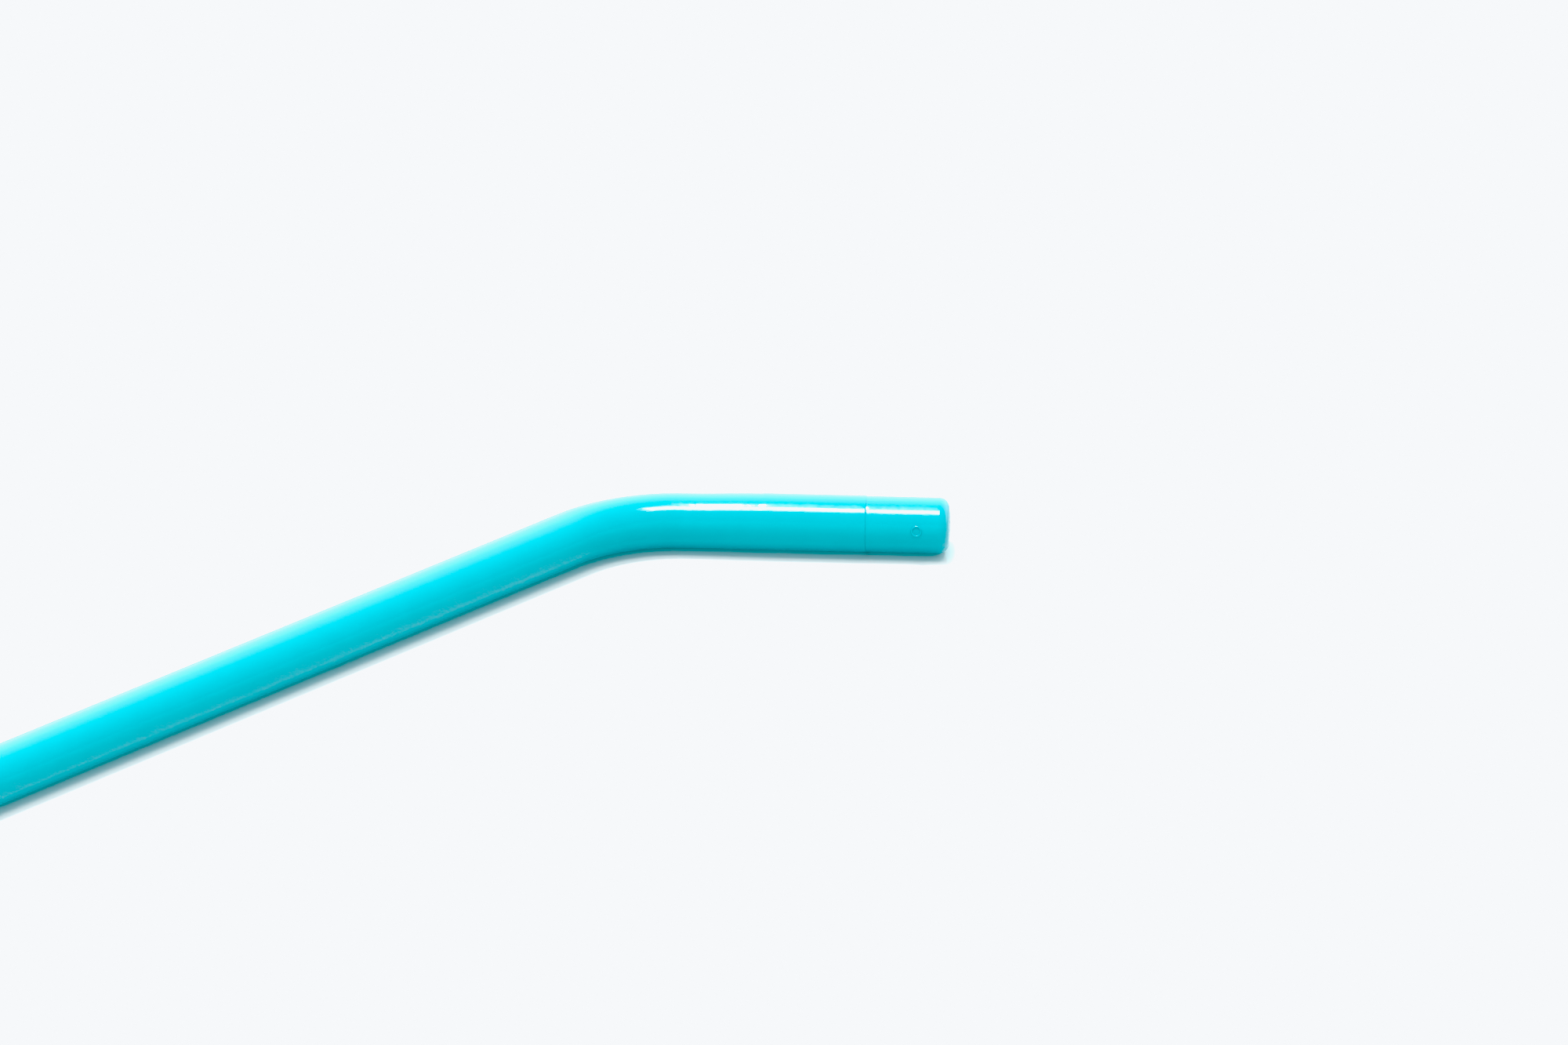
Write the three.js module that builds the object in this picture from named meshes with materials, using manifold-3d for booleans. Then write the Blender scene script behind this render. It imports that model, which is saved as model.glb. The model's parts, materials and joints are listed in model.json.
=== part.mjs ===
// A disposable saliva ejector: a soft PVC tube with a shaping wire sealed in its wall and a bonded tip cap.
// Millimetres, +Z up. The tube lies on the plane z = 0 with its shank along +X and its tip bent round to the
// right. The tube is one continuous extrusion: in the bend it is cut into short links, one between each two
// neighbouring hinges, so that the bend can be straightened or closed up as a hand would shape it.

import * as THREE from 'three';
import { mergeVertices } from 'three/addons/utils/BufferGeometryUtils.js';
import Module from 'manifold-3d';

const wasm = await Module();
wasm.setup();

// Lengths along the centreline, from the tail face to the front of the cap
const TOTAL_LENGTH = 150;
const TIP_LENGTH = 31.2; // straight part past the bend, cap included
const CAP_LENGTH = 9.8;

// The bend as it rests, and the hinges that stand for its flexibility
const BEND_ANGLE = THREE.MathUtils.degToRad(46.8);
const BEND_RADIUS = 18.25;
const HINGE_COUNT = 8;
const LINK_GAP = 0.4; // between two links, wide enough for a hinge to close by 6 degrees either way

// Tube section: the lumen sits high in the section, and the thick wall below it carries the wire
const TUBE_RADIUS = 3.25;
const LUMEN_RADIUS = 2.05;
const LUMEN_RISE = 0.65;
const CHANNEL_RADIUS = 0.55;
const WIRE_RADIUS = 0.4;
const WIRE_DROP = 2.35;

// Past the bend the tube swells slightly, and its cap with it
const TIP_SWELL = 1.036;
const SWELL_LENGTH = 9;

// Tip cap, before the swelling
const CAP_RADIUS = 3.2;
const CAP_NOSE_RADIUS = 1.3; // rounding of the front edge
const CAP_SEAM = 0.3; // between the tube's end face and the cap's shoulder
const CAP_WALL = 1.2; // front and back walls of the chamber
const CHAMBER_RADIUS = 2.3;
const SPIGOT_RADIUS = 1.85;
const SPIGOT_LENGTH = 6;
const SPIGOT_BORE_RADIUS = 1.3;
const INLET_RADIUS = 0.6;
const SIDE_INLET_RADIUS = 0.38;
const SIDE_INLET_COUNT = 6;
const SIDE_INLET_CIRCLE = 1.35;

const WIRE_TAIL_RECESS = 0.3;
const WIRE_TIP_RECESS = 1.5; // short of the tube's end, clear of the cap

const TUBE_SIDES = 32;
const LUMEN_SIDES = 20;
const CHANNEL_SIDES = 12;
const WIRE_SIDES = 10;
const CAP_SIDES = 40;

const BEND_LENGTH = BEND_ANGLE * BEND_RADIUS;
const SHANK_LENGTH = TOTAL_LENGTH - BEND_LENGTH - TIP_LENGTH;
const HINGE_PITCH = BEND_LENGTH / HINGE_COUNT;
const TUBE_END = TOTAL_LENGTH - CAP_LENGTH;

const plastic = { color: 0x00c4d8, roughness: 0.28, metalness: 0 };
const wireSteel = { color: 0xb9b4a8, roughness: 0.35, metalness: 1 };

// Point and heading of the centreline at a distance from the tail face
function centreline(distance) {
  const along = THREE.MathUtils.clamp(distance - SHANK_LENGTH, 0, BEND_LENGTH);
  const heading = -along / BEND_RADIUS;
  const before = Math.min(distance, SHANK_LENGTH);
  const after = Math.max(distance - SHANK_LENGTH - BEND_LENGTH, 0);
  const point = new THREE.Vector3(
    before - BEND_RADIUS * Math.sin(heading) + after * Math.cos(heading),
    BEND_RADIUS * (Math.cos(heading) - 1) + after * Math.sin(heading),
    TUBE_RADIUS,
  );
  return { point, heading };
}

// A stretch of the centreline, or of a line at a set height below it, that has one ring at each station
class CentrelineRun extends THREE.Curve {
  constructor(stations, drop) {
    super();
    this.stations = stations;
    this.drop = drop;
  }

  placeAt(u) {
    return centreline(this.stations[Math.round(u * (this.stations.length - 1))]);
  }

  getPointAt(u) {
    const { point } = this.placeAt(u);
    point.z -= this.drop;
    return point;
  }

  getTangentAt(u) {
    const { heading } = this.placeAt(u);
    return new THREE.Vector3(Math.cos(heading), Math.sin(heading), 0);
  }
}

function circlePoints(radius, sides, centreX) {
  const points = [];
  for (let i = 0; i < sides; i++) {
    const angle = (2 * Math.PI * i) / sides;
    points.push(new THREE.Vector2(centreX + radius * Math.cos(angle), radius * Math.sin(angle)));
  }
  return points;
}

// Along a run, a section's x axis points down and its y axis to the left
function sweep(section, stations, drop = 0) {
  const extrudePath = new CentrelineRun(stations, drop);
  return new THREE.ExtrudeGeometry(section, { steps: stations.length - 1, extrudePath });
}

function tubeSection() {
  const section = new THREE.Shape(circlePoints(TUBE_RADIUS, TUBE_SIDES, 0));
  section.holes.push(new THREE.Path(circlePoints(LUMEN_RADIUS, LUMEN_SIDES, -LUMEN_RISE)));
  section.holes.push(new THREE.Path(circlePoints(CHANNEL_RADIUS, CHANNEL_SIDES, WIRE_DROP)));
  return section;
}

function wireSection() {
  return new THREE.Shape(circlePoints(WIRE_RADIUS, WIRE_SIDES, 0));
}

function hingeStation(index) {
  return SHANK_LENGTH + (index + 0.5) * HINGE_PITCH;
}

function toSolid(geometry) {
  const bare = geometry.clone();
  bare.deleteAttribute('normal');
  bare.deleteAttribute('uv');
  const merged = mergeVertices(bare, 1e-4);
  const corners = merged.index.array;
  const triVerts = [];
  for (let i = 0; i < corners.length; i += 3) {
    const [a, b, c] = [corners[i], corners[i + 1], corners[i + 2]];
    if (a !== b && b !== c && c !== a) triVerts.push(a, b, c);
  }
  return new wasm.Manifold(new wasm.Mesh({
    numProp: 3,
    vertProperties: merged.attributes.position.array,
    triVerts: new Uint32Array(triVerts),
  }));
}

function toGeometry(solid) {
  const mesh = solid.getMesh();
  const geometry = new THREE.BufferGeometry();
  geometry.setAttribute('position', new THREE.BufferAttribute(mesh.vertProperties, 3));
  geometry.setIndex(new THREE.BufferAttribute(mesh.triVerts, 1));
  geometry.computeVertexNormals();
  return geometry;
}

// A solid turned about the X axis, from its outline as [distance along X, radius] pairs
function turned(outline, sides, rise = 0) {
  const profile = outline.map(([along, radius]) => new THREE.Vector2(radius, along));
  const geometry = new THREE.LatheGeometry(profile, sides);
  geometry.rotateZ(-Math.PI / 2);
  geometry.translate(0, 0, rise);
  return toSolid(geometry);
}

function rod(start, end, radius, sides, rise = 0) {
  return turned([[start, 0], [start, radius], [end, radius], [end, 0]], sides, rise);
}

function tubeGeometry(stations) {
  return sweep(tubeSection(), stations);
}

// Swells a piece past the bend, away from the surface that it lies on
function swollen(geometry) {
  const { point: origin, heading } = centreline(SHANK_LENGTH + BEND_LENGTH);
  const forward = new THREE.Vector3(Math.cos(heading), Math.sin(heading), 0);
  const sideways = new THREE.Vector3(-forward.y, forward.x, 0);
  const corners = geometry.attributes.position;
  for (let i = 0; i < corners.count; i++) {
    const corner = new THREE.Vector3().fromBufferAttribute(corners, i);
    const offset = corner.clone().sub(origin);
    const share = THREE.MathUtils.clamp(offset.dot(forward) / SWELL_LENGTH, 0, 1);
    const growth = (TIP_SWELL - 1) * share;
    corner.addScaledVector(sideways, offset.dot(sideways) * growth);
    corner.z *= 1 + growth;
    corners.setXYZ(i, corner.x, corner.y, corner.z);
  }
  geometry.computeVertexNormals();
  return geometry;
}

function wireGeometry(stations) {
  return sweep(wireSection(), stations, WIRE_DROP);
}

// Moulded cap, drawn with its shoulder at x = 0 and its front at x = its length: a hollow body with a round
// nose and inlet holes through its front wall, and a bored spigot that fits the tube's lumen
function capGeometry() {
  const length = CAP_LENGTH - CAP_SEAM;
  const outline = [[0, 0], [0, CAP_RADIUS]];
  const noseSteps = 6;
  for (let i = 0; i <= noseSteps; i++) {
    const angle = (i / noseSteps) * (Math.PI / 2);
    outline.push([
      length - CAP_NOSE_RADIUS * (1 - Math.sin(angle)),
      CAP_RADIUS - CAP_NOSE_RADIUS * (1 - Math.cos(angle)),
    ]);
  }
  outline.push([length, 0]);
  const overrun = 1;
  const frontWall = length - CAP_WALL;
  let cap = turned(outline, CAP_SIDES);
  cap = cap.add(rod(-CAP_SEAM - SPIGOT_LENGTH, CAP_WALL / 2, SPIGOT_RADIUS, LUMEN_SIDES, LUMEN_RISE));
  cap = cap.subtract(rod(CAP_WALL, frontWall, CHAMBER_RADIUS, LUMEN_SIDES));
  const boreStart = -CAP_SEAM - SPIGOT_LENGTH - overrun;
  cap = cap.subtract(rod(boreStart, CAP_WALL + overrun, SPIGOT_BORE_RADIUS, LUMEN_SIDES, LUMEN_RISE));
  cap = cap.subtract(rod(frontWall - overrun, length + overrun, INLET_RADIUS, CHANNEL_SIDES));
  for (let i = 0; i < SIDE_INLET_COUNT; i++) {
    const geometry = new THREE.CylinderGeometry(SIDE_INLET_RADIUS, SIDE_INLET_RADIUS, 4, CHANNEL_SIDES);
    geometry.rotateZ(Math.PI / 2);
    geometry.translate(length, SIDE_INLET_CIRCLE, 0);
    geometry.rotateX((2 * Math.PI * i) / SIDE_INLET_COUNT);
    cap = cap.subtract(toSolid(geometry));
  }
  const rise = TUBE_RADIUS * (TIP_SWELL - 1);
  return toGeometry(cap).scale(1, TIP_SWELL, TIP_SWELL).translate(0, 0, rise);
}

function piece(name, geometry, look) {
  const mesh = new THREE.Mesh(geometry, new THREE.MeshStandardMaterial(look));
  mesh.name = name;
  return mesh;
}

const ejector = new THREE.Group();

const firstHinge = hingeStation(0);
const lastHinge = hingeStation(HINGE_COUNT - 1);
const halfGap = LINK_GAP / 2;
const bendEnd = SHANK_LENGTH + BEND_LENGTH;

ejector.add(
  piece('tube_shank', tubeGeometry([0, SHANK_LENGTH, firstHinge - halfGap]), plastic),
  piece('wire_shank', wireGeometry([WIRE_TAIL_RECESS, SHANK_LENGTH, firstHinge - halfGap]), wireSteel),
);

for (let i = 1; i < HINGE_COUNT; i++) {
  const ends = [hingeStation(i - 1) + halfGap, hingeStation(i) - halfGap];
  ejector.add(
    piece(`tube_link_${i}`, tubeGeometry(ends), plastic),
    piece(`wire_link_${i}`, wireGeometry(ends), wireSteel),
  );
}

const tipStations = [lastHinge + halfGap, bendEnd, bendEnd + SWELL_LENGTH, TUBE_END];
ejector.add(
  piece('tube_tip', swollen(tubeGeometry(tipStations)), plastic),
  piece('wire_tip', wireGeometry([lastHinge + halfGap, bendEnd, TUBE_END - WIRE_TIP_RECESS]), wireSteel),
);

const capEnd = centreline(TUBE_END);
const tipCap = piece('tip_cap', capGeometry(), plastic);
tipCap.position.copy(centreline(TUBE_END + CAP_SEAM).point);
tipCap.rotation.z = capEnd.heading;
ejector.add(tipCap);

// The part's origin is the middle of its footprint, on the surface that it lies on
const extent = new THREE.Box3().setFromObject(ejector, true);
const middle = extent.getCenter(new THREE.Vector3());
ejector.position.set(-middle.x, -middle.y, -extent.min.z);

export default ejector;
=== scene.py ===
# A disposable saliva ejector: a soft PVC tube with a shaping wire sealed in its wall and a bonded tip cap.
# It lies bent as a hand left it. Everything is in metres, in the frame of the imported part.

import json
import math

import bmesh
import bpy
from mathutils import Matrix, Vector


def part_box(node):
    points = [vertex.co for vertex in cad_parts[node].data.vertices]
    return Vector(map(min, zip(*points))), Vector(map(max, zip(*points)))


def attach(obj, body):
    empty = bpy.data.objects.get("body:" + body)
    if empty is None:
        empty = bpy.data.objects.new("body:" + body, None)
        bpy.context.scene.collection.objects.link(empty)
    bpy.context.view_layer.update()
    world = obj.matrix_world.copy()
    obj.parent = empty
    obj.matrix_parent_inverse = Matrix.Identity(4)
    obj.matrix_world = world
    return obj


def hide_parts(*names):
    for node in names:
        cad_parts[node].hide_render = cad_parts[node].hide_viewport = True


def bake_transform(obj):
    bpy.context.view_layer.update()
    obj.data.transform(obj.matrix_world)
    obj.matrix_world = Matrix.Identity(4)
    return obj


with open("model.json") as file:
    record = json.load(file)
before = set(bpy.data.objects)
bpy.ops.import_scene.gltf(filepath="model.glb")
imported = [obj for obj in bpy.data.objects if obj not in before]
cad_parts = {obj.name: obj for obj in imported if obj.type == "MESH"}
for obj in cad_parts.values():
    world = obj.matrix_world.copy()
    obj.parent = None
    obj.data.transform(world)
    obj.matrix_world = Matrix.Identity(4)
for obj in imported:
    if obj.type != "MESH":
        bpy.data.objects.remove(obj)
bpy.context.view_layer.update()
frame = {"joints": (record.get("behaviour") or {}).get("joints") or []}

# ---------------------------------------------------------------------------------------------------------
# The tube. One length of soft plasticised PVC, extruded with two bores: the large one carries the saliva,
# and the small one, in the thick wall below it, holds the shaping wire. It is made whole along its bend and
# then parted halfway between the hinges, into one part for each hinge.

MM = 0.001

TUBE_RADIUS = (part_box("tube_shank")[1].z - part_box("tube_shank")[0].z) / 2
LUMEN_RADIUS = 2.05 * MM
LUMEN_RISE = 0.65 * MM
CHANNEL_RADIUS = 0.55 * MM
CHANNEL_DROP = 2.35 * MM
CUT_EDGE = 0.015 * MM        # the guillotined ends are a little rounded

BEND_RADIUS = 18.25 * MM
BEND_ANGLE = math.radians(46.8)
TIP_TUBE_LENGTH = 21.4 * MM     # straight tube past the bend, up to the cap's shoulder

UP = Vector((0, 0, 1))
hinges = [Vector(joint["pos_m"]) for joint in frame["joints"]]
hinge_angle = BEND_ANGLE / len(hinges)
tail_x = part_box("tube_shank")[0].x
bend_start = hinges[0] + Vector((
    -BEND_RADIUS * math.sin(hinge_angle / 2),
    BEND_RADIUS * (1 - math.cos(hinge_angle / 2)),
    0,
))
bend_centre = bend_start - Vector((0, BEND_RADIUS, 0))
shank_length = bend_start.x - tail_x
bend_length = BEND_RADIUS * BEND_ANGLE


def on_axis(distance):
    """A point of the tube's axis and its heading there, at a distance from the tail face."""
    turned = min(max(distance - shank_length, 0), bend_length) / BEND_RADIUS
    heading = Vector((math.cos(turned), -math.sin(turned), 0))
    outward = Vector((math.sin(turned), math.cos(turned), 0))
    before = min(distance - shank_length, 0)
    after = max(distance - shank_length - bend_length, 0)
    return bend_centre + outward * BEND_RADIUS + heading * (before + after), heading


def laid_straight(point):
    """Where a point would be, in millimetres, were the tube straight: along it, sideways and above its axis."""
    arm = point - bend_centre
    turned = min(max(math.atan2(arm.x, arm.y), 0), BEND_ANGLE)
    middle, heading = on_axis(shank_length + turned * BEND_RADIUS)
    offset = point - middle
    along = shank_length + turned * BEND_RADIUS + offset.dot(heading)
    return Vector((along, offset.dot(UP.cross(heading)), offset.z)) / MM


def edit(piece):
    bpy.ops.object.select_all(action="DESELECT")
    piece.select_set(True)
    bpy.context.view_layer.objects.active = piece
    bpy.ops.object.mode_set(mode="EDIT")


def finish_editing():
    bpy.ops.object.mode_set(mode="OBJECT")


def pick_faces(piece, wanted):
    """In edit mode, selects only the faces whose middle and normal are wanted."""
    bpy.ops.mesh.select_mode(type="FACE")
    bpy.ops.mesh.select_all(action="DESELECT")
    mesh = bmesh.from_edit_mesh(piece.data)
    for face in mesh.faces:
        if wanted(face.calc_center_median(), face.normal):
            face.select_set(True)
    bmesh.update_edit_mesh(piece.data)


def add_circle(radius, sides, centre):
    """A circle that faces along X."""
    bpy.ops.mesh.primitive_circle_add(
        vertices=sides, radius=radius, location=centre, rotation=(0, math.pi / 2, 0))


def extrude(along):
    bpy.ops.mesh.extrude_region_move(TRANSFORM_OT_translate={"value": along})


def extrude_straight(start, end, spacing):
    """In edit mode, draws the selected section along a straight stretch, with a ring at each spacing.
    One more ring close to each end keeps the shading of a rounded edge from spreading along the tube."""
    rings = round((end - start) / spacing)
    places = [start, start + HOLD_RING]
    places += [start + (end - start) * i / rings for i in range(1, rings)]
    places += [end - HOLD_RING, end]
    for near, far in zip(places, places[1:]):
        extrude(on_axis(far)[0] - on_axis(near)[0])


def sweep_along_tube(start, end):
    """In edit mode, draws the selected section along the tube's axis, from one distance to another."""
    extrude_straight(start, shank_length, SHANK_RINGS)
    bpy.ops.mesh.spin(steps=BEND_RINGS, angle=BEND_ANGLE, center=bend_centre, axis=UP)
    extrude_straight(shank_length + bend_length, end, TIP_RINGS)


def round_end(piece, distance, amount, outward):
    """In edit mode, rounds the edges of a flat end in two small steps."""
    middle = on_axis(distance)[0]
    pick_faces(piece, lambda centre, normal: (
        (centre - middle).length < TUBE_RADIUS and normal.dot(outward) > 0.99))
    bpy.ops.mesh.inset(thickness=amount * SHALLOW_STEP)
    bpy.ops.transform.translate(value=outward * amount * STEEP_STEP)
    bpy.ops.mesh.inset(thickness=amount * STEEP_STEP)
    bpy.ops.transform.translate(value=outward * amount * SHALLOW_STEP)


SHALLOW_STEP = 0.35         # the two steps of a rounded edge, as shares of its size
STEEP_STEP = 0.65
BEND_RINGS = 65             # odd, so that no ring falls on a parting plane
SHANK_RINGS = 2 * MM        # rings are this far apart on the shank, and closer past the bend, where it swells
TIP_RINGS = 0.3 * MM
HOLD_RING = 0.15 * MM
tube_length = shank_length + bend_length + TIP_TUBE_LENGTH

tail_middle = on_axis(CUT_EDGE)[0]
add_circle(TUBE_RADIUS, 96, tail_middle)
whole_tube = bpy.context.object
bpy.ops.object.transform_apply()
edit(whole_tube)
add_circle(LUMEN_RADIUS, 64, tail_middle + UP * LUMEN_RISE)
add_circle(CHANNEL_RADIUS, 24, tail_middle - UP * CHANNEL_DROP)
bpy.ops.mesh.select_all(action="SELECT")
bpy.ops.mesh.fill()
sweep_along_tube(CUT_EDGE, tube_length - CUT_EDGE)
bpy.ops.mesh.select_all(action="SELECT")
bpy.ops.mesh.normals_make_consistent(inside=False)
round_end(whole_tube, CUT_EDGE, CUT_EDGE, Vector((-1, 0, 0)))
round_end(whole_tube, tube_length - CUT_EDGE, CUT_EDGE, on_axis(tube_length)[1])
finish_editing()


def ease(value, start, end):
    """A smooth change from 0 to 1 between a start and an end."""
    share = min(max((value - start) / (end - start), 0), 1)
    return share * share * (3 - 2 * share)


def swell_tip(piece):
    """The tip end is a little thicker: it swells past the bend, then by a small step where it was heated to
    take the cap, and draws in at the bonded seam. The underside stays on the table."""
    for vertex in piece.data.vertices:
        along, sideways, _ = laid_straight(vertex.co)
        swell = 1 + SLOW_SWELL * ease(along, *SWELL_RUN) + STEP_SWELL * ease(along, *STEP_RUN)
        swell -= SEAM_WAIST * (1 - ease(abs(along - tube_length / MM), 0, SEAM_WAIST_RUN))
        heading = on_axis(along * MM)[1]
        vertex.co += UP.cross(heading) * sideways * (swell - 1) * MM
        vertex.co.z *= swell


# Growth as shares of the section, and the stretches it happens over, in millimetres along the tube
SLOW_SWELL = 0.030
STEP_SWELL = 0.006
SEAM_WAIST = 0.003
SEAM_WAIST_RUN = 0.3
swell_start = (shank_length + bend_length) / MM
SWELL_RUN = (swell_start, swell_start + 9)
STEP_RUN = (tube_length / MM - 12.3, tube_length / MM - 11.9)
swell_tip(whole_tube)


def cut_across(piece, distance, keep_tail_side):
    """In edit mode, cuts a piece square across the tube and closes the cut."""
    point, heading = on_axis(distance)
    bpy.ops.mesh.select_all(action="SELECT")
    bpy.ops.mesh.bisect(
        plane_co=point, plane_no=heading, use_fill=True, threshold=1e-7,
        clear_outer=keep_tail_side, clear_inner=not keep_tail_side)


def part_between_hinges(whole, name):
    """Parts a swept piece halfway between each two hinges, from the tail to the tip."""
    pitch = bend_length / len(hinges)
    parts = []
    for i in range(len(hinges)):
        part = whole.copy()
        part.data = whole.data.copy()
        part.name = part.data.name = f"{name}_{i + 1}"
        bpy.context.collection.objects.link(part)
        edit(part)
        if i > 0:
            cut_across(part, shank_length + i * pitch, False)
        if i < len(hinges) - 1:
            cut_across(part, shank_length + (i + 1) * pitch, True)
        finish_editing()
        parts.append(part)
    bpy.data.objects.remove(whole)
    return parts


def keep_straight_place(piece):
    """Keeps each point's place on the straight tube, which its finish is laid out by."""
    straight = piece.data.attributes.new("laid_straight", "FLOAT_VECTOR", "POINT")
    for vertex, place in zip(piece.data.vertices, straight.data):
        place.vector = laid_straight(vertex.co)


def smooth(piece):
    """Shades a piece smooth, except across its sharp edges."""
    bpy.ops.object.select_all(action="DESELECT")
    piece.select_set(True)
    bpy.context.view_layer.objects.active = piece
    bpy.ops.object.shade_smooth_by_angle(angle=SHARP_EDGE)


SHARP_EDGE = math.radians(35)


STIFF_END = 0.04    # of a part's length: a stretch in from each end, which nothing here goes on to use


def flex_across(part, index):
    """Bakes a part's placement into its mesh. The place where its flexing would start is worked out but not
    used.
    """
    pitch = bend_length / len(hinges)
    clear = STIFF_END * pitch
    start, heading = on_axis(shank_length + index * pitch + clear)
    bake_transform(part)


def linear(srgb_hex):
    """An sRGB hex colour as linear red, green, blue and alpha."""
    shares = [int(srgb_hex[i:i + 2], 16) / 255 for i in (0, 2, 4)]
    return [c / 12.92 if c <= 0.04045 else ((c + 0.055) / 1.055) ** 2.4 for c in shares] + [1]


def add_node(tree, kind, inputs=None, **settings):
    """Adds a node with its own settings. An input is a value, or another node's output to link."""
    node = tree.nodes.new(kind)
    for name, value in settings.items():
        setattr(node, name, value)
    for name, value in (inputs or {}).items():
        if isinstance(value, bpy.types.NodeSocket):
            tree.links.new(value, node.inputs[name])
        else:
            node.inputs[name].default_value = value
    return node


def new_material(name):
    """An empty material with its output node, ready for a shader."""
    material = bpy.data.materials.new(name)
    material.use_nodes = True
    material.node_tree.nodes.clear()
    return material, material.node_tree


def soft_plastic(name, colour, pale_colour, lowest_roughness, waviness):
    """Opaque turquoise plastic. Its finish is laid out along the straight tube, in millimetres."""
    material, tree = new_material(name)
    place = add_node(tree, "ShaderNodeAttribute", attribute_name="laid_straight").outputs["Vector"]
    # Uneven cooling leaves slow waves 2 to 3 mm long
    waves = add_node(tree, "ShaderNodeTexNoise", {
        "Vector": place, "Scale": 0.4, "Detail": 1.0, "Roughness": 0.35})
    # Ripples under a millimetre long break up the edge of a reflected lamp
    ripples = add_node(tree, "ShaderNodeTexNoise", {
        "Vector": place, "Scale": 1.1, "Detail": 1.0, "Roughness": 0.4})
    # Die lines run the whole length; real ones are about 0.02 mm apart and are drawn 0.25 mm apart to show
    stretched = add_node(tree, "ShaderNodeMapping", {"Vector": place, "Scale": (0.02, 1.0, 1.0)})
    die_lines = add_node(tree, "ShaderNodeTexNoise", {
        "Vector": stretched.outputs["Vector"], "Scale": 4.0, "Detail": 2.0, "Roughness": 0.5})
    # The matt bloom of the plasticiser comes and goes over half a millimetre
    bloom = add_node(tree, "ShaderNodeTexNoise", {
        "Vector": place, "Scale": 1.8, "Detail": 3.0, "Roughness": 0.55})
    wavy = add_node(tree, "ShaderNodeBump", {
        "Height": waves.outputs["Fac"], "Strength": 1.0, "Distance": waviness * MM})
    rippled = add_node(tree, "ShaderNodeBump", {
        "Height": ripples.outputs["Fac"], "Strength": 1.0, "Distance": 0.3 * waviness * MM,
        "Normal": wavy.outputs["Normal"]})
    lined = add_node(tree, "ShaderNodeBump", {
        "Height": die_lines.outputs["Fac"], "Strength": 1.0, "Distance": 0.002 * MM,
        "Normal": rippled.outputs["Normal"]})
    roughness = add_node(tree, "ShaderNodeMapRange", {
        "Value": bloom.outputs["Fac"], "From Min": 0.3, "From Max": 0.7,
        "To Min": lowest_roughness, "To Max": lowest_roughness + 0.05})
    tint = add_node(tree, "ShaderNodeMix", {
        "Factor": waves.outputs["Fac"], 6: linear(colour), 7: linear(pale_colour)}, data_type="RGBA")
    # Plasticised PVC has an IOR of about 1.53, raised a little here to give the sheen of its upper side
    shader = add_node(tree, "ShaderNodeBsdfPrincipled", {
        "Base Color": tint.outputs[2], "Roughness": roughness.outputs["Result"], "IOR": 1.6,
        "Normal": lined.outputs["Normal"]})
    # Light soaks through the wall and tints the shadow. It is dimmed where it crosses the outer skin
    across = add_node(tree, "ShaderNodeMapping", {"Vector": place, "Scale": (0.0, 1.0, 1.0)})
    from_axis = add_node(tree, "ShaderNodeVectorMath", {0: across.outputs["Vector"]}, operation="LENGTH")
    on_skin = add_node(tree, "ShaderNodeMath", {
        0: from_axis.outputs["Value"], 1: 0.9 * TUBE_RADIUS / MM}, operation="GREATER_THAN")
    passed = add_node(tree, "ShaderNodeMix", {
        "Factor": on_skin.outputs["Value"], 6: (1, 1, 1, 1), 7: (0.05, 0.4, 0.43, 1)}, data_type="RGBA")
    soaked = add_node(tree, "ShaderNodeBsdfTransparent", {"Color": passed.outputs[2]})
    towards_lamp = add_node(tree, "ShaderNodeLightPath").outputs["Is Shadow Ray"]
    both = add_node(tree, "ShaderNodeMixShader", {
        0: towards_lamp, 1: shader.outputs["BSDF"], 2: soaked.outputs["BSDF"]})
    add_node(tree, "ShaderNodeOutputMaterial", {"Surface": both.outputs["Shader"]})
    return material


# Extruded PVC gives a wet-looking gloss with slow waves, so that a reflected lamp has a wandering edge
extruded_pvc = soft_plastic("extruded_turquoise_pvc", "009aaa", "009eae", 0.10, 0.016)

tube_parts = part_between_hinges(whole_tube, "soft_tube")
for index, part in enumerate(tube_parts):
    part.data.materials.append(extruded_pvc)
    keep_straight_place(part)
    smooth(part)
    flex_across(part, index)
    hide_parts("tube_shank" if index == 0 else f"tube_link_{index}")
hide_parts("tube_tip")

# ---------------------------------------------------------------------------------------------------------
# The shaping wire. Soft annealed steel wire, thinly plated, drawn through the small bore as the tube is
# extruded. It keeps the bend that a hand gives the tube, and shows only at the tail, where it is cut off.

WIRE_RADIUS = (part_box("wire_shank")[1].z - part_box("wire_shank")[0].z) / 2
WIRE_TAIL_RECESS = 0.3 * MM
WIRE_TIP_RECESS = 1.5 * MM

wire_start = WIRE_TAIL_RECESS
wire_end = tube_length - WIRE_TIP_RECESS
add_circle(WIRE_RADIUS, 24, on_axis(wire_start)[0] - UP * CHANNEL_DROP)
whole_wire = bpy.context.object
bpy.ops.object.transform_apply()
edit(whole_wire)
bpy.ops.mesh.select_all(action="SELECT")
bpy.ops.mesh.edge_face_add()
sweep_along_tube(wire_start, wire_end)
bpy.ops.mesh.select_all(action="SELECT")
bpy.ops.mesh.normals_make_consistent(inside=False)
# The cutter pinches the end to a blunt, slightly slanting face
pick_faces(whole_wire, lambda centre, normal: normal.x < -0.99)
bpy.ops.mesh.inset(thickness=WIRE_RADIUS * 0.3)
bpy.ops.transform.translate(value=(-0.12 * MM, 0, 0))
bpy.ops.transform.resize(value=(1, 0.6, 1))
finish_editing()

# Drawn steel with a thin plating: a soft grey metal with fine lines along it and a few dull patches
plated_steel, tree = new_material("drawn_plated_steel")
place = add_node(tree, "ShaderNodeAttribute", attribute_name="laid_straight").outputs["Vector"]
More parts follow.
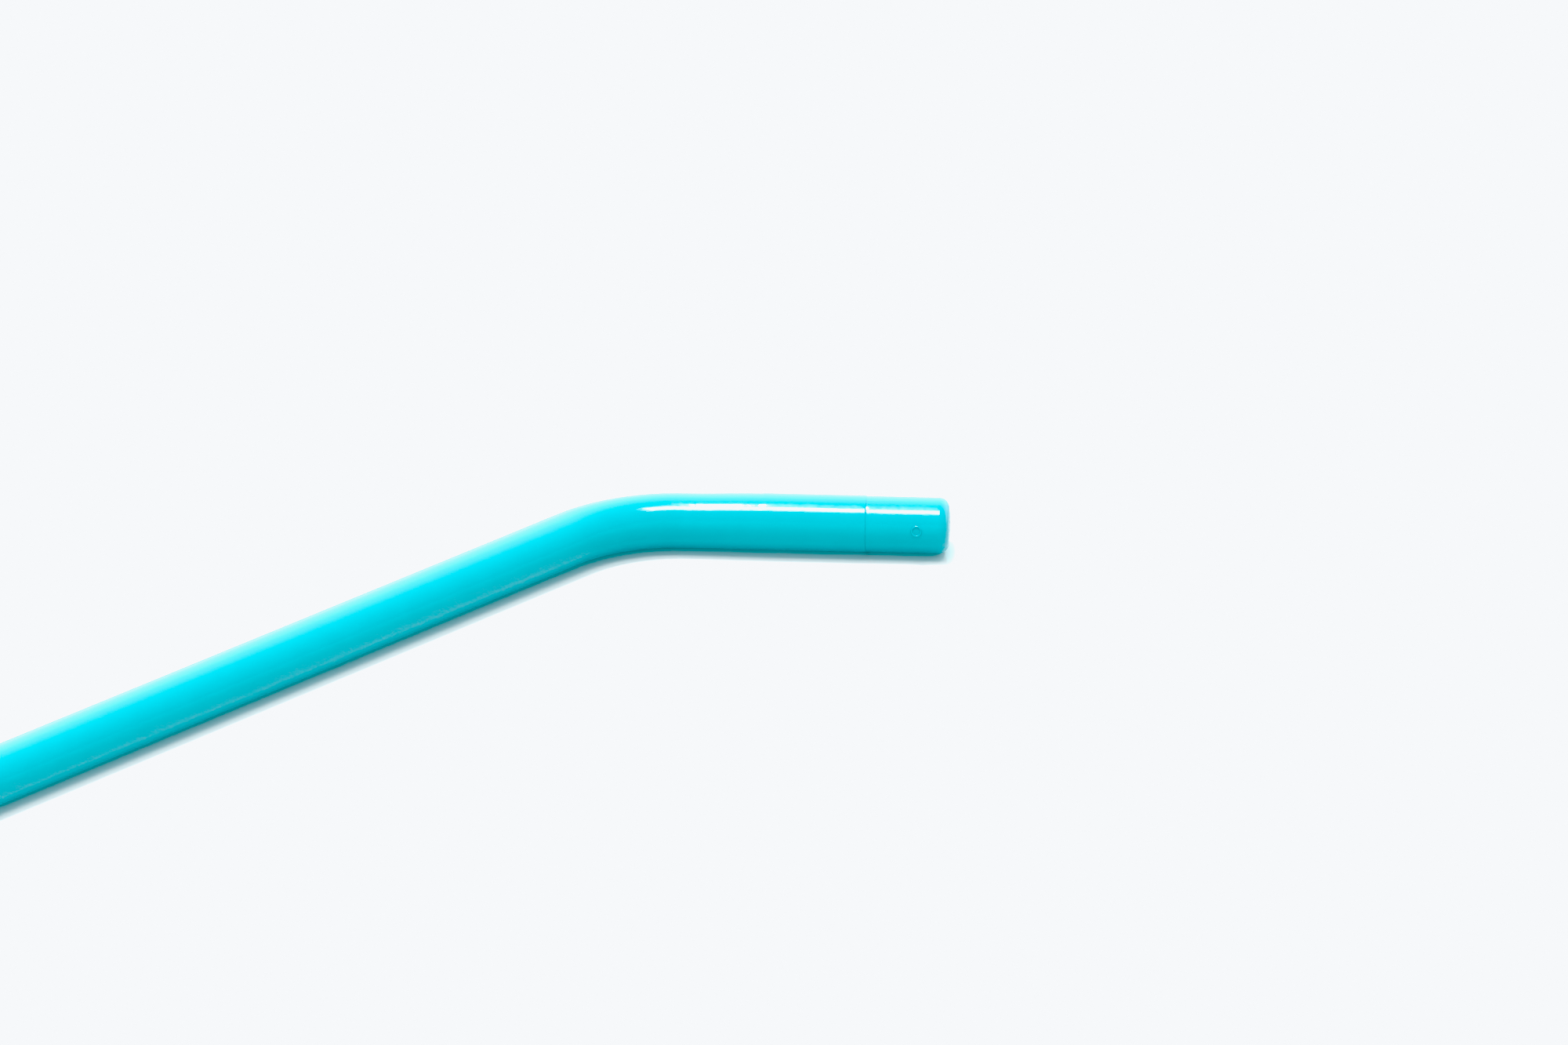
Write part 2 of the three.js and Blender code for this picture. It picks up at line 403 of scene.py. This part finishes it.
# Drawing lines are a few hundredths of a millimetre apart and are drawn 0.1 mm apart to show
drawn = add_node(tree, "ShaderNodeMapping", {"Vector": place, "Scale": (0.05, 1.0, 1.0)})
lines = add_node(tree, "ShaderNodeTexNoise", {
    "Vector": drawn.outputs["Vector"], "Scale": 10.0, "Detail": 2.0})
patches = add_node(tree, "ShaderNodeTexNoise", {"Vector": place, "Scale": 0.8, "Detail": 2.0})
ridges = add_node(tree, "ShaderNodeBump", {
    "Height": lines.outputs["Fac"], "Strength": 1.0, "Distance": 0.004 * MM})
dullness = add_node(tree, "ShaderNodeMapRange", {
    "Value": patches.outputs["Fac"], "From Min": 0.3, "From Max": 0.7, "To Min": 0.28, "To Max": 0.45})
plating = add_node(tree, "ShaderNodeMix", {
    "Factor": patches.outputs["Fac"], 6: linear("c9c5bb"), 7: linear("a39e92")}, data_type="RGBA")
metal = add_node(tree, "ShaderNodeBsdfPrincipled", {
    "Base Color": plating.outputs[2], "Metallic": 1.0, "Roughness": dullness.outputs["Result"],
    "Normal": ridges.outputs["Normal"]})
add_node(tree, "ShaderNodeOutputMaterial", {"Surface": metal.outputs["BSDF"]})

wire_parts = part_between_hinges(whole_wire, "shaping_wire")
for index, part in enumerate(wire_parts):
    part.data.materials.append(plated_steel)
    keep_straight_place(part)
    smooth(part)
    flex_across(part, index)
    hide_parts("wire_shank" if index == 0 else f"wire_link_{index}")
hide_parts("wire_tip")

# ---------------------------------------------------------------------------------------------------------
# The tip cap. Moulded in the tube's colour and bonded on by a bored spigot that fills the end of the large
# bore. Its nose is well rounded so that it can't hurt the gum, and its front wall has seven suction holes.

CAP_RADIUS = 3.2 * MM
CAP_LENGTH = 9.8 * MM
CAP_SEAM = 0.01 * MM
CAP_WALL = 1.2 * MM
NOSE_ROUNDING = 1.3 * MM
SHOULDER_ROUNDING = 0.015 * MM
CHAMBER_RADIUS = 2.3 * MM
SPIGOT_RADIUS = 1.85 * MM
SPIGOT_LENGTH = 6 * MM
SPIGOT_BORE_RADIUS = 1.3 * MM
INLET_RADIUS = 0.6 * MM
SIDE_INLET_RADIUS = 0.38 * MM
SIDE_INLET_COUNT = 6
SIDE_INLET_CIRCLE = 1.35 * MM
HOLE_ROUNDING = 0.1 * MM
GATE_RADIUS = 0.55 * MM
GATE_RIDGE = 0.11 * MM
GATE_PLACE = 6.0 * MM           # from the shoulder
GATE_ABOVE_SIDE = math.radians(13)


def add_rod(start, end, radius, sides, y=0.0, z=0.0):
    """A round rod along X, in object mode, with its place in its mesh."""
    bpy.ops.object.select_all(action="DESELECT")
    bpy.ops.mesh.primitive_cylinder_add(
        vertices=sides, radius=radius, depth=end - start,
        location=((start + end) / 2, y, z), rotation=(0, math.pi / 2, 0))
    bpy.ops.object.transform_apply()
    return bpy.context.object


def pick_rims(piece, wanted):
    """In edit mode, selects only the sharp edges whose middle is wanted."""
    bpy.ops.mesh.select_mode(type="EDGE")
    bpy.ops.mesh.select_all(action="DESELECT")
    mesh = bmesh.from_edit_mesh(piece.data)
    for edge in mesh.edges:
        sharp = edge.calc_face_angle(0) > math.radians(40)
        if sharp and wanted((edge.verts[0].co + edge.verts[1].co) / 2):
            edge.select_set(True)
    bmesh.update_edit_mesh(piece.data)


def combine(piece, other, operation):
    """Joins another solid to a piece, or cuts it away, and removes the other."""
    modifier = piece.modifiers.new("combine", "BOOLEAN")
    modifier.operation = operation
    modifier.solver = "EXACT"
    modifier.object = other
    bpy.context.view_layer.objects.active = piece
    bpy.ops.object.modifier_apply(modifier=modifier.name)
    bpy.data.objects.remove(other)


shoulder = CAP_SEAM / 2
cap_front = CAP_LENGTH
cap = add_rod(shoulder, cap_front, CAP_RADIUS, 96)
cap.name = cap.data.name = "moulded_tip_cap"
edit(cap)
pick_rims(cap, lambda middle: middle.x > cap_front - MM)
bpy.ops.mesh.bevel(offset=NOSE_ROUNDING, segments=14, profile=0.5)
pick_rims(cap, lambda middle: middle.x < shoulder + MM)
bpy.ops.mesh.bevel(offset=SHOULDER_ROUNDING, segments=4, profile=0.5)
straight_side = (shoulder + SHOULDER_ROUNDING, cap_front - NOSE_ROUNDING)
ring_places = [straight_side[0] + HOLD_RING * i for i in range(1, 6)]
for place in ring_places + [sum(straight_side) / 2, straight_side[1] - HOLD_RING]:
    bpy.ops.mesh.select_all(action="SELECT")
    bpy.ops.mesh.bisect(plane_co=(place, 0, 0), plane_no=(1, 0, 0), threshold=1e-7)
finish_editing()

front_wall = cap_front - CAP_WALL
spigot = add_rod(-SPIGOT_LENGTH, CAP_WALL / 2, SPIGOT_RADIUS, 64, z=LUMEN_RISE)
edit(spigot)
pick_rims(spigot, lambda middle: middle.x < 0)
bpy.ops.mesh.bevel(offset=0.3 * MM, segments=3, profile=0.5)
finish_editing()
combine(cap, spigot, "UNION")
combine(cap, add_rod(CAP_WALL, front_wall, CHAMBER_RADIUS, 64), "DIFFERENCE")
combine(cap, add_rod(-SPIGOT_LENGTH - MM, CAP_WALL + MM, SPIGOT_BORE_RADIUS, 48, z=LUMEN_RISE), "DIFFERENCE")


def drill_inlet(radius, y, z):
    """Cuts a suction hole through the front wall, with its rim rounded off."""
    drill = add_rod(front_wall - MM, cap_front - HOLE_ROUNDING, radius, 32, y, z)
    edit(drill)
    pick_faces(drill, lambda centre, normal: normal.x > 0.99)
    width = radius
    for forward, outward in ((STEEP_STEP, SHALLOW_STEP), (SHALLOW_STEP, 1)):
        extrude((HOLE_ROUNDING * forward, 0, 0))
        widened = (radius + HOLE_ROUNDING * outward) / width
        bpy.ops.transform.resize(value=(1, widened, widened))
        width = radius + HOLE_ROUNDING * outward
    extrude((MM, 0, 0))
    finish_editing()
    combine(cap, drill, "DIFFERENCE")


drill_inlet(INLET_RADIUS, 0, 0)
for i in range(SIDE_INLET_COUNT):
    around = 2 * math.pi * i / SIDE_INLET_COUNT
    drill_inlet(SIDE_INLET_RADIUS, SIDE_INLET_CIRCLE * math.cos(around), SIDE_INLET_CIRCLE * math.sin(around))

# The moulding gate was trimmed off the side and left a low round ridge
bpy.ops.object.select_all(action="DESELECT")
bpy.ops.mesh.primitive_torus_add(
    major_segments=40, minor_segments=12, major_radius=GATE_RADIUS, minor_radius=GATE_RIDGE,
    location=(GATE_PLACE, -CAP_RADIUS * math.cos(GATE_ABOVE_SIDE), CAP_RADIUS * math.sin(GATE_ABOVE_SIDE)),
    rotation=(math.pi / 2 - GATE_ABOVE_SIDE, 0, 0))
bpy.ops.object.transform_apply()
combine(cap, bpy.context.object, "UNION")

edit(cap)
bpy.ops.mesh.select_all(action="SELECT")
bpy.ops.mesh.remove_doubles(threshold=1e-7)
bpy.ops.mesh.normals_make_consistent(inside=False)
finish_editing()
cap_place = on_axis(tube_length)[0]
cap.data.transform(Matrix.Translation(cap_place) @ Matrix.Rotation(-BEND_ANGLE, 4, "Z"))
swell_tip(cap)

# Moulded plastic of the same colour: a touch duller than the extruded tube and a little more uneven
moulded_plastic = soft_plastic("moulded_turquoise_plastic", "009aaa", "009eae", 0.12, 0.018)
cap.data.materials.append(moulded_plastic)
keep_straight_place(cap)
smooth(cap)
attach(cap, "tip")
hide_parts("tip_cap")

# ---------------------------------------------------------------------------------------------------------
# The stage. A wide sheet of white paper, two softboxes overhead, and a bright studio on the far side that the
# glossy tube reflects along its upper edge.

AIM = Vector((59.70, 4.08, 0)) * MM
AWAY = Vector((0.6915, 0.7224, 0))      # level, from the camera towards the object
RIGHT = Vector((0.7224, -0.6915, 0))

bpy.ops.object.select_all(action="DESELECT")
bpy.ops.mesh.primitive_plane_add(size=12, location=(0, 0, 0))
paper = bpy.context.object
paper.name = "paper_sheet"

# Uncoated white paper, a light grey that the lamps bring up to white: no gloss to speak of, and a faint tooth
white_paper, tree = new_material("matt_white_paper")
place = add_node(tree, "ShaderNodeTexCoord").outputs["Object"]
tooth = add_node(tree, "ShaderNodeTexNoise", {"Vector": place, "Scale": 3000.0, "Detail": 2.0})
fibres = add_node(tree, "ShaderNodeBump", {
    "Height": tooth.outputs["Fac"], "Strength": 0.3, "Distance": 0.02 * MM})
paper_shader = add_node(tree, "ShaderNodeBsdfPrincipled", {
    "Base Color": linear("c0c2c3"), "Roughness": 0.8, "Specular IOR Level": 0.2,
    "Normal": fibres.outputs["Normal"]})
add_node(tree, "ShaderNodeOutputMaterial", {"Surface": paper_shader.outputs["BSDF"]})
paper.data.materials.append(white_paper)


def hang_softbox(name, direction, width, depth, radiance):
    """A softbox one metre from the object, which it faces."""
    bpy.ops.object.light_add(type="AREA", location=AIM + direction.normalized())
    lamp = bpy.context.object
    lamp.name = name
    lamp.data.shape = "RECTANGLE"
    lamp.data.size = width
    lamp.data.size_y = depth
    lamp.data.energy = radiance * math.pi * width * depth
    back = direction.normalized()
    across = (RIGHT - back * RIGHT.dot(back)).normalized()
    lamp.rotation_euler = Matrix((across, back.cross(across), back)).transposed().to_euler()


# One lamp shows along the top of the tube, and the smaller one, to the left and behind, throws a firm shadow
hang_softbox("overhead_softbox", UP - AWAY * 0.17, width=0.40, depth=0.27, radiance=21.0)
hang_softbox("small_softbox", UP - RIGHT * 0.16 + AWAY * 0.09, width=0.12, depth=0.12, radiance=150.0)

# The studio round the table, by the angle over the top from the far horizon to the near one
studio = bpy.data.worlds.new("studio")
bpy.context.scene.world = studio
studio.use_nodes = True
tree = studio.node_tree
tree.nodes.clear()
direction = add_node(tree, "ShaderNodeTexCoord").outputs["Generated"]
height = add_node(tree, "ShaderNodeSeparateXYZ", {"Vector": direction}).outputs["Z"]
far = add_node(tree, "ShaderNodeVectorMath", {0: direction, 1: AWAY}, operation="DOT_PRODUCT")
over = add_node(tree, "ShaderNodeMath", {0: height, 1: far.outputs["Value"]}, operation="ARCTAN2")
share = add_node(tree, "ShaderNodeMath", {0: over.outputs["Value"], 1: math.pi}, operation="DIVIDE")
bands = add_node(tree, "ShaderNodeValToRGB", {"Fac": share.outputs["Value"]})
# Degrees round the arc, and how bright the studio is there
STUDIO_BANDS = [(0, 2.2), (36, 2.2), (44, 1.8), (82, 1.0), (90, 0.8), (148, 0.8), (156, 1.45), (180, 1.45)]
BRIGHTEST = 2.2
ramp = bands.color_ramp
while len(ramp.elements) < len(STUDIO_BANDS):
    ramp.elements.new(0.5)
# All the places come before the tones, because a ramp keeps its stops in order of place
for element, (degrees, radiance) in zip(ramp.elements, STUDIO_BANDS):
    element.position = degrees / 180
for element, (degrees, radiance) in zip(ramp.elements, STUDIO_BANDS):
    element.color = [radiance / BRIGHTEST] * 3 + [1]
studio_light = add_node(tree, "ShaderNodeBackground", {
    "Color": bands.outputs["Color"], "Strength": BRIGHTEST})
add_node(tree, "ShaderNodeOutputWorld", {"Surface": studio_light.outputs["Background"]})

CAMERA_DISTANCE = 1.2
CAMERA_ELEVATION = math.radians(26)
camera_back = UP * math.sin(CAMERA_ELEVATION) - AWAY * math.cos(CAMERA_ELEVATION)
bpy.ops.object.camera_add(location=AIM + camera_back * CAMERA_DISTANCE)
camera = bpy.context.object
camera.rotation_euler = (-camera_back).to_track_quat("-Z", "Y").to_euler()
camera.data.lens = 233
camera.data.sensor_width = 36
camera.data.clip_start = 0.01
bpy.context.scene.camera = camera

# The paper is exposed to just below full white, and nothing gets brighter than it
PAPER_WHITE = linear("f6f8fa")
looks = bpy.context.scene.view_settings
looks.view_transform = "Standard"
looks.use_curve_mapping = True
curves = looks.curve_mapping
curves.use_clip = True
curves.clip_min_x = curves.clip_min_y = 0
curves.clip_max_x = curves.clip_max_y = 1
for curve, white in zip(curves.curves[:3], PAPER_WHITE):
    curve.points[0].location = (0, 0)
    curve.points[1].location = (1, white)
    curve.points.new(white, white)
    if curve == curves.curves[0]:
        curve.points.new(0.088, 0.0)
        curve.points.new(0.112, 0.08)
        curve.points.new(0.2, 0.2)
    for point in curve.points:
        point.handle_type = "VECTOR"
curves.update()
